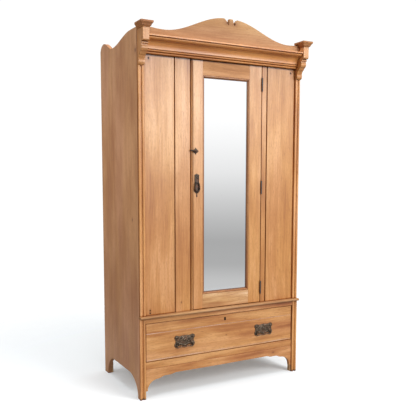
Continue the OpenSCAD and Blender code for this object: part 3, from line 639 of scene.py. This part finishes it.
def pull_plate(casting, x0):
    """A lobed plate with an arched band, scrolls, corner bosses, a medallion and two bail posts."""
    face = -PLATE_T
    casting.plate([(x + x0, z) for x, z in PULL_OUTLINE], 0, face, 0.9)
    casting.bar([(x + x0, face - 0.4, z) for x, z in PULL_ARCH], 2.3, RELIEF_SIDES)
    casting.bar([(x + x0, face - 0.2, z) for x, z in PULL_SILL], 1.7, RELIEF_SIDES)
    swell = [0.9 + 1.2 * math.sin(math.pi * i / (len(PULL_LEAF) - 1)) for i in range(len(PULL_LEAF))]
    for s in (-1, 1):
        casting.boss(dome(7.2, face + LET_IN, 4.4), x0 + s * LOBE_X, LOBE_Z)
        ring = circle(x0 + s * LOBE_X, LOBE_Z, 9.3)
        casting.bar(raised(ring, face - 0.2), 1.4, RELIEF_SIDES, closed=True)
        casting.bar(raised(scroll(x0 + s * 54, -16, s, 7.5, 1.3, 60), face - PROUD),
                    thinning(1.9, 0.05), RELIEF_SIDES)
        casting.bar(raised(scroll(x0 + s * 24, MEDALLION_Z, s, 6.0, 1.2, 200), face - PROUD),
                    thinning(1.6, 0.04), RELIEF_SIDES)
        casting.bar([(x0 + s * x, face - PROUD, z) for x, z in PULL_LEAF], swell, RELIEF_SIDES)
        casting.boss(PULL_POST, x0 + s * POST_X, POST_Z, 16)
    casting.boss(dome(6.0, face + LET_IN, 3.6), x0, MEDALLION_Z)
    casting.bar(raised(circle(x0, MEDALLION_Z, 8.6), face - PROUD), 1.5, RELIEF_SIDES, closed=True)
    casting.boss(dome(3.0, face + LET_IN, 2.4), x0, 30)


def both_sides(half):
    """The whole of a loop whose last point lies on its middle line."""
    return half + [(-x, y, z) for x, y, z in reversed(half[:-1])]


def bail(name, node, origin, material):
    """A swan-neck wire bail with a small knop at the middle of its grip."""
    drop = smooth_line([(38.5, 0), (46, 0), (48.8, -3), (49, -12), (48.5, -19), (44, -23.6), (36, -22),
                        (26, -18.5), (15, -18.5), (7, -21.5), (0, -22.5)], 4)
    path = both_sides(raised(drop, 0))
    radii = [1.7 if abs(x) < 46 and z > -2 else 2.0 + 0.6 * min(1, -z / 20) for x, y, z in path]
    casting = Casting(origin)
    casting.bar(path, radii, 10)
    casting.bar([(x, 0, -22.3) for x in (-4.2, -2.6, 0, 2.6, 4.2)], [1.2, 2.6, 3.4, 2.6, 1.2], 12)
    for s in (-1, 1):
        casting.bar([(s * 40.5, 0, -23.0), (s * 43, 0, -23.2), (s * 46, 0, -22.6), (s * 48, 0, -21.5)],
                    [1.4, 3.0, 3.0, 1.4], 10)
    casting.piece(name, node, "oxidised_brass", material, node)


# ---------------------------------------------------------------- door fittings

DOOR_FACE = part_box("door_stile_left")[0].y
DRAWER_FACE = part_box("drawer_front")[0].y
KEYHOLE_Z = 0.380       # height of the drawer's keyhole, in metres
DOOR_PLATE = mirrored(
    smooth_line([(0, 0), (3, -4.0), (7, -5.2), (11, -6.2), (14.4, -9.5), (14.8, -13), (13.2, -18),
                 (14.2, -28), (14.0, -50), (14.2, -78), (14.8, -84), (16.6, -90), (16.8, -95), (15, -98),
                 (11.5, -101.5), (7, -104.5), (3.4, -106.5), (2.0, -112), (2.2, -118), (3.4, -122.5),
                 (2.4, -126), (0, -127)], 3))
DOOR_PLATE_RIM = smooth_line([(0, -7), (4, -9), (10.4, -12), (10.2, -18), (10.8, -40), (10.8, -66),
                              (12, -80), (11, -88), (0, -95)], 3)
KEYHOLE_RIM = smooth_line([(0, -18.5), (2.6, -20), (3.0, -23), (1.9, -25.5), (2.6, -31), (0, -32.5),
                           (-2.6, -31), (-1.9, -25.5), (-3.0, -23), (-2.6, -20)], 3, True)
KEYHOLE_SLOT = smooth_line([(0, -18.8), (2.3, -20.2), (2.7, -23), (1.5, -25.5), (2.2, -30.8), (0, -32),
                            (-2.2, -30.8), (-1.5, -25.5), (-2.7, -23), (-2.3, -20.2)], 3, True)
DROP_SIDE = smooth_line([(6.6, 0.6), (9.6, -1.5), (11.8, -8), (13.4, -18), (14.0, -28), (12.8, -36),
                         (8.5, -42), (0, -44.2)], 5)
LEVER_RISE = 4.0        # how much higher the lever's ball is than its hub
LEVER_DEPTH = 3.6
BALL_R = 5.4


def on_face_of(node, face, z):
    """A casting that starts on a face, in the middle of a node's width, at a height in metres."""
    low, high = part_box(node)
    return Casting(((low.x + high.x) / 2, face, z))


def door_plate(material):
    """A long plate with a pointed head, a wide foot, a thin tail and a raised rim round its keyhole."""
    casting = on_face_of("door_pull_plate", DOOR_FACE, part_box("door_pull_plate")[1].z)
    casting.plate(DOOR_PLATE, 0, -PLATE_T, 0.8)
    for s in (-1, 1):
        casting.bar([(s * x, -2.3, z) for x, z in DOOR_PLATE_RIM], 1.2, RELIEF_SIDES)
    casting.bar(raised(KEYHOLE_RIM, -2.4), 0.9, RELIEF_SIDES, closed=True)
    casting.boss(dome(2.8, -2.0, 2.0), 0, -12)
    casting.boss(dome(3.2, -2.0, 2.4), 0, -98)
    add_knuckles(casting)
    casting.piece("cast_door_plate", "door", "oxidised_brass", material, "door_pull_plate")


def add_knuckles(casting):
    """The two lugs and the block that the drop hangs from."""
    knuckle = joint_place("drop_pull_swing") - casting.origin
    y, z = knuckle.y / MM, knuckle.z / MM
    for s in (-1, 1):
        casting.bar([(s * x, y, z) for x in (6.2, 5.6, 3.4, 2.8)], [2.6, 3.6, 3.6, 2.6], 12)
    casting.bar([(-4, y, z), (4, y, z)], 2.6, 12)
    block = [(-5, z - 3.4), (5, z - 3.4), (5, z + 3.4), (-5, z + 3.4)]
    casting.plate(block, -1.5, y, 0.6)


def door_keyhole(material):
    """A dark sheet of painted shade inside the rim of the door plate, standing for the depth of the
    keyhole.
    """
    casting = on_face_of("door_pull_plate", DOOR_FACE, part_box("door_pull_plate")[1].z)
    casting.plate(KEYHOLE_SLOT, -1.8, -2.35, 0.05)
    casting.piece("door_keyhole", "door", "aged_iron", material)


def drawer_keyhole(material):
    """A dark sheet of painted shade at the mouth of the drawer's keyhole."""
    casting = on_face_of("drawer_lock_case", DRAWER_FACE, KEYHOLE_Z)
    half = smooth_line([(0, 9), (4, 8.2), (6.0, 5), (5.6, 1.4), (5.4, -8.4), (0, -9.2)], 4)
    casting.plate(mirrored(half), 0.6, -0.25, 0.05)
    casting.piece("drawer_keyhole", "drawer", "aged_iron", material)


def drop_handle(material):
    """A tapered stirrup that widens from its pivot and thickens towards its rounded foot."""
    casting = Casting(joint_place("drop_pull_swing"))
    path = both_sides([(x, -0.6 - min(1, max(0, -z) / 30), z) for x, z in DROP_SIDE])
    radii = [2.1 + math.sin(min(1, max(0, -z) / 34) * math.pi / 2) ** 2 for x, y, z in path]
    casting.bar(path, radii, 10)
    casting.bar([(x, 0, 0) for x in (-7.0, -6.6, 6.6, 7.0)], [1.0, 1.5, 1.5, 1.0], 10)
    for s in (-1, 1):
        shoulder = [(s * 6.3, 0, 0.2), (s * 7, 0, 0.2), (s * 9, 0, 0), (s * 9.6, 0, 0)]
        casting.bar(shoulder, [1.6, 2.7, 2.7, 1.6], 10)
    casting.piece("cast_drop", "drop_pull", "oxidised_brass", material, "drop_pull")


def catch_rose(material):
    """A small diamond with hollow sides and finials above and below."""
    centre = joint_place("catch_turn")
    casting = Casting((centre.x, DOOR_FACE, centre.z))
    half = smooth_line([(0, 18), (2.4, 16.4), (2.2, 14), (5.2, 11), (9.6, 8), (14, 3.6), (18, 0)], 4)
    half += smooth_line([(14, -3.6), (9.6, -8), (5.2, -11), (2.2, -14), (2.4, -16.4), (0, -18)], 4)
    casting.plate(mirrored(half), 0, -2.5, 1.0)
    casting.boss([(7.6, -2.2), (7.6, -3.0), (6.4, -4.0), (5.6, -4.4), (5.4, -5.5), (4.6, -5.7)])
    casting.piece("cast_rose", "door", "oxidised_brass", material, "catch_rose")


def catch_lever(material):
    """A lever that tapers from its hub, rises slightly and ends in a small ball."""
    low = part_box("catch_lever")[0]
    centre = joint_place("catch_turn")
    casting = Casting((centre.x, low.y, centre.z))
    reach = (centre.x - low.x) / MM
    casting.boss([(6.8, 7.4), (7.4, 6.6), (7.4, 2.2), (6.4, 0.9), (3.6, 0.2), (0.6, 0.1)])
    shank = [0, 5, 10, 16, reach - 8, reach - 5]
    casting.bar([(-x, LEVER_DEPTH, LEVER_RISE * x / reach) for x in shank],
                [5.0, 4.8, 4.2, 3.8, 3.6, 4.2], 12)
    turns = [math.pi * i / 8 for i in range(8, -1, -1)]
    casting.bar([(-(reach - 4.6 - 4.5 * math.cos(a)), LEVER_DEPTH, LEVER_RISE) for a in turns],
                [max(0.3, BALL_R * math.sin(a)) for a in turns], 14)
    casting.piece("cast_lever", "turn_catch", "oxidised_brass", material, "catch_lever")


def bevelled_mirror(material):
    """The plate of the mirror, thinned at its border by a wide ground bevel."""
    low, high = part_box("mirror_glass")
    part = bmesh.new()
    loops = []
    for trim, y in ((0, high.y), (0, low.y + BEVEL_DEPTH), (BEVEL_WIDTH, low.y)):
        loops.append([part.verts.new((x, y, z)) for x, z in (
            (low.x + trim, low.z + trim), (high.x - trim, low.z + trim),
            (high.x - trim, high.z - trim), (low.x + trim, high.z - trim))])
    Casting.skin(part, loops, False)
    bmesh.ops.recalc_face_normals(part, faces=part.faces[:])
    mesh = bpy.data.meshes.new("bevelled_mirror")
    part.to_mesh(mesh)
    part.free()
    mesh.materials.append(material)
    made = bpy.data.objects.new("bevelled_mirror", mesh)
    bpy.context.scene.collection.objects.link(made)
    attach(made, "door")
    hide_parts("mirror_glass")
    return made


# ---------------------------------------------------------------- stage

FLOOR_REACH = 2.6       # radius of the floor, in metres
FLOOR_FADE = 1.1        # radius at which it starts to fade
FLOOR_LIT = (0.42, 0.42, 0.42)      # its colour for the light that it throws back
FLOOR_SEEN = (0.83, 0.875, 0.91)    # its colour for the camera
FLOOR_GLOW = 0.16
WHITE = (1.0, 1.0, 1.0, 1.0)
SKY_WHITE = (1.0, 0.99, 0.975, 1.0)
DAYLIGHT = (1.0, 0.985, 0.96)

# Greys that the mirror shows, each at a half plus the rise of the reflected ray
WALL_GREYS = ((0.30, 0.62), (0.325, 0.57), (0.35, 0.45), (0.389, 0.43), (0.422, 0.53), (0.455, 0.65),
              (0.503, 0.86), (0.554, 1.0), (0.61, 1.12), (1.0, 1.15))


def add_floor():
    """A plain pale floor that fades into the white of the studio before it ends."""
    mesh = bpy.data.meshes.new("floor")
    shape = bmesh.new()
    bmesh.ops.create_circle(shape, cap_ends=True, segments=64, radius=FLOOR_REACH)
    shape.to_mesh(mesh)
    shape.free()
    floor = bpy.data.objects.new("floor", mesh)
    bpy.context.scene.collection.objects.link(floor)
    material, t = new_material("studio_floor")
    place, _ = t.object_place()
    away = t.vector_math("LENGTH", place)
    seen = t.node("ShaderNodeLightPath").outputs["Is Camera Ray"]
    lit = t.shader("BsdfDiffuse", {"Color": t.mix(seen, FLOOR_LIT, FLOOR_SEEN)})
    strength = t.math("MULTIPLY", seen, FLOOR_GLOW)
    glow = t.shader("Emission", {"Color": WHITE, "Strength": strength})
    both = t.shader("AddShader", {0: lit, 1: glow})
    clear = t.shader("BsdfTransparent")
    fade = t.smooth(away, FLOOR_FADE, FLOOR_REACH - 0.1)
    t.put(t.node("ShaderNodeOutputMaterial").inputs[0], t.choose(fade, both, clear))
    mesh.materials.append(material)


def add_world():
    """A studio that looks white, lights softly from all round, and reflects as a graded wall."""
    world = bpy.data.worlds.new("studio")
    bpy.context.scene.world = world
    world.use_nodes = True
    world.node_tree.nodes.clear()
    t = Tree(world.node_tree)
    rays = t.node("ShaderNodeLightPath").outputs
    place = t.node("ShaderNodeTexCoord").outputs["Generated"]
    axes = t.node("ShaderNodeSeparateXYZ", {0: place}).outputs
    wall = t.ramp(t.math("ADD", axes[2], 0.5), [(at, (grey, grey, grey)) for at, grey in WALL_GREYS])
    dimmed = t.smooth(axes[1], -0.25, 0.25, 1.0, 0.25)
    sky = t.smooth(axes[2], -0.3, 0.4, 0.20, 0.66)
    seen = t.shader("Background", {"Color": WHITE, "Strength": 1.05})
    lights = t.shader("Background", {"Color": SKY_WHITE, "Strength": sky})
    reflected = t.shader("Background", {"Color": wall, "Strength": dimmed})
    unseen = t.choose(rays["Is Glossy Ray"], lights, reflected)
    shown = t.choose(rays["Is Camera Ray"], unseen, seen)
    t.put(t.node("ShaderNodeOutputWorld").inputs[0], shown)
    bpy.context.scene.view_settings.view_transform = "Standard"


add_camera()
add_floor()
add_world()
area_light("softbox", (1.9, -4.4, 2.9), (0.0, 0.0, 1.3), (2.6, 2.0), 164, DAYLIGHT)
area_light("overhead", (0.0, -0.6, 4.2), (0.0, 0.0, 0.0), (3.0, 3.0), 90)
area_light("left_wall", (-1.6, 0.1, 1.38), (-0.51, 0.05, 1.36), (0.5, 0.6), 4.6, DAYLIGHT)
window = area_light("window", (1.7, -4.3, 2.26), (-0.2, -0.2, 1.55), (2.2, 0.7), 150, gloss_only=True)

# ---------------------------------------------------------------- woods of the case

GLASS_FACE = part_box("mirror_glass")[0].y
UPRIGHT_FRONT = ["front_panel_left", "front_stile_left", "front_stile_right", "front_panel_right",
                 "door_stile_left", "door_stile_right"]
POSTS = ["post_left", "post_right", "leg_left", "leg_right"]
LEVEL_HEAD = ["door_rail_top", "frieze_rail"]
FLAMED = ["drawer_front", "drawer_rail", "apron", "waist_rail"]
CAPS = ["cap_left", "cap_right"]
CORBELS = ["corbel_left", "corbel_right"]
SIDES = ["side_board_left", "side_board_right"]

# How far dirt and painted shade reach in from the edges of each board's face, in metres
RIMS = {"drawer_front": 0.003, "front_panel_left": 0.003, "front_panel_right": 0.003,
        "door_rail_top": 0.0025, "door_rail_bottom": 0.0025,
        "door_stile_left": 0.0015, "door_stile_right": 0.0015}
POST_RIM = 0.0025

# Knots, screw heads, and painted shade in the pediment's notches: place across the face, height and
# radius, in metres
GNARL_AND_NOTCH_SHADES = {
    "side_board_left": ((-0.202, 1.808, 0.006), (-0.14, 0.95, 0.004)),
    "front_panel_left": ((-0.445, 1.772, 0.006), (-0.446, 0.474, 0.004), (-0.446, 0.460, 0.004)),
    "front_panel_right": ((0.446, 1.766, 0.005),),
    "front_stile_left": ((-0.262, 0.500, 0.003),),
    "apron": ((0.345, 0.136, 0.005),),
    "drawer_front": ((0.02, 0.285, 0.002),),
    # Painted shade inside the two notches at the peak
    "pediment": ((-0.003, 1.985, 0.008), (0.041, 1.984, 0.008)),
}

# Heights of the filled joints, whose pale line is also a painted highlight, and bands of painted shade,
# with dirt near the floor, as (faint height, full height, strength)
PALE_FILL_AND_HIGHLIGHT_LINES = {"drawer_front": (0.350, 0.207)}
# Painted shadow of the cornice on the boards under it: near black at their tops, fading lower down
UNDER_CORNICE = ((1.778, 1.787, 0.97), (1.56, 1.78, 0.13))
# Painted contact shade, with dirt, at the foot of the posts and the apron
ON_FLOOR = ((0.016, 0.0, 0.92),)

# Boards whose corners get less painted shade and dirt than the others
FAINTER_CORNER_SHADE_AND_SOIL = {"front_stile_left": 0.6, "door_stile_left": 0.5}

paint(UPRIGHT_FRONT, lambda n, i: wood(n, FRONT_PINE, UPRIGHT, seed=1.7 + 2.3 * i,
                                       gnarls_and_notch_shade=GNARL_AND_NOTCH_SHADES.get(n, ()), rim=RIMS.get(n, 0.0),
                                       shade_and_soil_bands=UNDER_CORNICE, corner_shade_and_soil=FAINTER_CORNER_SHADE_AND_SOIL.get(n, 1.0)))
paint(POSTS, lambda n, i: wood(n, POST_PINE, UPRIGHT, seed=15.5 + 2.3 * i, rim=POST_RIM, shade_and_soil_bands=ON_FLOOR))
paint(LEVEL_HEAD, lambda n, i: wood(n, HEAD_PINE, LEVEL, seed=31.3 + 1.9 * i, rough=0.68,
                                    rim=RIMS.get(n, 0.0), shade_and_soil_bands=UNDER_CORNICE))
paint(["door_rail_bottom"], lambda n, i: wood(n, RAIL_PINE, LEVEL, seed=33.2, bands=0.48, contrast=1.7,
                                              figure=0.7, rim=RIMS[n]))
paint(FLAMED, lambda n, i: wood(n, FLAME_PINE, LEVEL, seed=41.3 + 1.9 * i, bands=0.50, contrast=1.55,
                                figure=0.6, lean=0.03, gnarls_and_notch_shade=GNARL_AND_NOTCH_SHADES.get(n, ()),
                                pale_fill_and_highlight=PALE_FILL_AND_HIGHLIGHT_LINES.get(n, ()), rim=RIMS.get(n, 0.0), shade_and_soil_bands=ON_FLOOR))
paint(["pediment"], lambda n, i: wood(n, CREST_PINE, LEVEL, seed=48.9, bands=0.25, contrast=1.0,
                                      figure=0.3, rough=0.7, gnarls_and_notch_shade=GNARL_AND_NOTCH_SHADES[n]))
paint(["cornice"], lambda n, i: wood(n, TRIM_PINE, LEVEL, seed=51.3))
paint(["waist_moulding"], lambda n, i: wood(n, CREST_PINE, LEVEL, seed=53.2, rough=0.6))
paint(CAPS, lambda n, i: wood(n, CAP_PINE, LEVEL, seed=65.1 + 1.9 * i, rough=0.65))
paint(CORBELS, lambda n, i: wood(n, FRONT_PINE, UPRIGHT, seed=61.3 + 1.9 * i))
paint(["sight_moulding"], lambda n, i: wood(n, SIGHT_PINE, UPRIGHT, seed=67.9, seat=GLASS_FACE))
paint(SIDES, lambda n, i: wood(n, SIDE_PINE, SIDE, seed=71.3 + 1.9 * i, figure=0.6,
                               gnarls_and_notch_shade=GNARL_AND_NOTCH_SHADES.get(n, ())))
paint(["hanging_rail", "rail_sockets"],
      lambda n, i: wood(n, TRIM_PINE, LEVEL, seed=81.1 + i, outside=False))
paint(["back_boards"], lambda n, i: wood(n, BARE_DEAL, UPRIGHT, seed=91.1, rough=0.6))
paint(["back_battens", "glue_blocks", "stop_blocks", "mirror_backboard", "backboard_beads"],
      lambda n, i: wood(n, BARE_DEAL, UPRIGHT, seed=92.1 + i, rough=0.6, outside=False))
paint(["top_board", "floor_board", "drawer_bottom", "drawer_back"],
      lambda n, i: wood(n, BARE_DEAL, FLAT, seed=101.1 + i, rough=0.6, outside=False))
paint(["drawer_sides", "drawer_runners", "drawer_guides"],
      lambda n, i: wood(n, BARE_DEAL, DEEP, seed=111.1 + i, rough=0.6, outside=False))

# ---------------------------------------------------------------- metal, glass and fittings

BRONZE = old_metal("oxidised_brass", dark=(0.034, 0.023, 0.015), light=(0.240, 0.175, 0.120),
                   patina=(0.180, 0.085, 0.048), wear_and_glint_color=(0.46, 0.37, 0.29), rough=0.40, seed=0.0)
BROWN_BRONZE = old_metal("browned_brass", dark=(0.020, 0.014, 0.011), light=(0.095, 0.070, 0.052),
                         patina=(0.100, 0.042, 0.027), wear_and_glint_color=(0.34, 0.26, 0.21), rough=0.44, seed=2.0)
IRON = old_metal("aged_iron", dark=(0.05, 0.045, 0.042), light=(0.13, 0.12, 0.115),
                 patina=(0.11, 0.05, 0.03), wear_and_glint_color=(0.20, 0.19, 0.18), rough=0.5, seed=3.0)
# Near black for the screw heads, and painted shade for the keyholes
SCREW_IRON_AND_HOLE_SHADE = old_metal("screw_iron_and_hole_shade", dark=(0.010, 0.009, 0.008), light=(0.016, 0.014, 0.013),
                 patina=(0.02, 0.012, 0.01), wear_and_glint_color=(0.02, 0.018, 0.016), rough=0.8, seed=5.0)
paint(["pull_plates", "bail_left", "bail_right", "catch_cam"], lambda n, i: BRONZE)
paint(["door_pull_plate", "drop_pull", "catch_rose", "catch_lever"], lambda n, i: BROWN_BRONZE)
paint(["panel_screws"], lambda n, i: SCREW_IRON_AND_HOLE_SHADE)
paint(["frame_hinge_leaves", "door_hinge_leaves", "hinge_pins", "lock_keeper",
       "door_lock_case", "door_bolt", "drawer_lock_case", "drawer_bolt"], lambda n, i: IRON)

GLASS = silvered_glass()
paint(["mirror_glass"], lambda n, i: GLASS)
plate_glass = bevelled_mirror(GLASS)

# The mirror would show the window as a white patch, so that light leaves it out
left_out = bpy.data.collections.new("left_out_by_window")
window.light_linking.receiver_collection = left_out
left_out.objects.link(plate_glass)
left_out.collection_objects[0].light_linking.link_state = "EXCLUDE"

left_pivot = joint_place("bail_left_swing")
right_pivot = joint_place("bail_right_swing")
middle_x = (left_pivot.x + right_pivot.x) / 2
half_span = (right_pivot.x - left_pivot.x) / 2 / MM
plates = Casting((middle_x, DRAWER_FACE, left_pivot.z - POST_Z * MM))
pull_plate(plates, -half_span)
pull_plate(plates, half_span)
plates.piece("cast_pull_plates", "drawer", "oxidised_brass", BRONZE, "pull_plates")
bail("cast_bail_left", "bail_left", left_pivot, BRONZE)
bail("cast_bail_right", "bail_right", right_pivot, BRONZE)
door_plate(BROWN_BRONZE)
door_keyhole(SCREW_IRON_AND_HOLE_SHADE)
drawer_keyhole(SCREW_IRON_AND_HOLE_SHADE)
drop_handle(BROWN_BRONZE)
catch_rose(BROWN_BRONZE)
catch_lever(BROWN_BRONZE)
